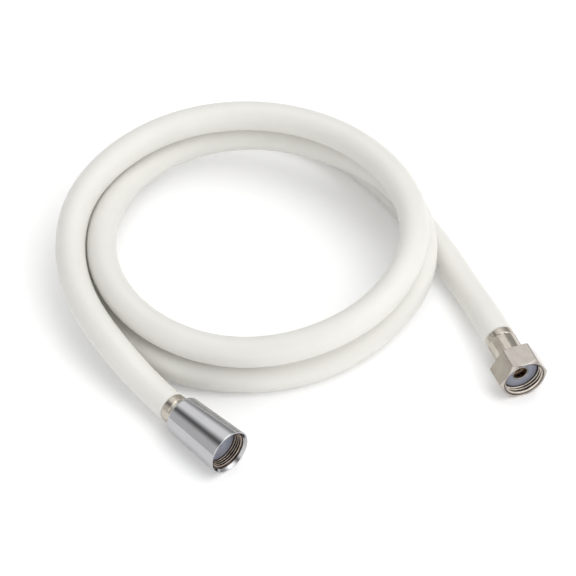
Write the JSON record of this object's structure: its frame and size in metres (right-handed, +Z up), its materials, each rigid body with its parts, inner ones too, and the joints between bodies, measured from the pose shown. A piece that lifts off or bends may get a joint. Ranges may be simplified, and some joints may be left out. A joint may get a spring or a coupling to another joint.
{
  "type": "shower hose",
  "caption": "Smooth flexible shower hose lying in a loose coil, with a conical swivel nut at the handset end and a hexagonal swivel nut at the wall end.",
  "frame": {"origin": "middle of the floor area that the coil covers, at floor level", "axes": "+Z up, +Y from the two nuts towards the far side of the coil, +X to the right, towards the wall end"},
  "size_m": [0.2475, 0.2518, 0.0475],
  "materials": {
    "vinyl": "smooth satin off-white PVC",
    "chrome": "polished chrome plate",
    "nut_nickel": "satin nickel plate",
    "ferrule_nickel": "warm bright nickel plate, crimped",
    "tail_brass": "turned brass",
    "washer_rubber": "matt blue-grey rubber"
  },
  "bodies": {
    "hose_body": {"hose": "vinyl", "handset_tail": "tail_brass", "handset_ferrule": "ferrule_nickel", "wall_tail": "tail_brass", "wall_ferrule": "ferrule_nickel"},
    "handset_nut": {"cone_nut": "chrome", "handset_washer": "washer_rubber"},
    "wall_nut": {"hex_nut": "nut_nickel", "wall_washer": "washer_rubber"}
  },
  "joints": [
    {"name": "handset_swivel", "type": "hinge", "parent": "hose_body", "child": "handset_nut", "pos_m": [-0.0331, -0.1181, 0.01189], "axis": [0.6813, -0.7306, 0.0448], "continuous": true},
    {"name": "wall_swivel", "type": "hinge", "parent": "hose_body", "child": "wall_nut", "pos_m": [0.1121, -0.0709, 0.01152], "axis": [0.3616, -0.9323, 0], "continuous": true}
  ]
}
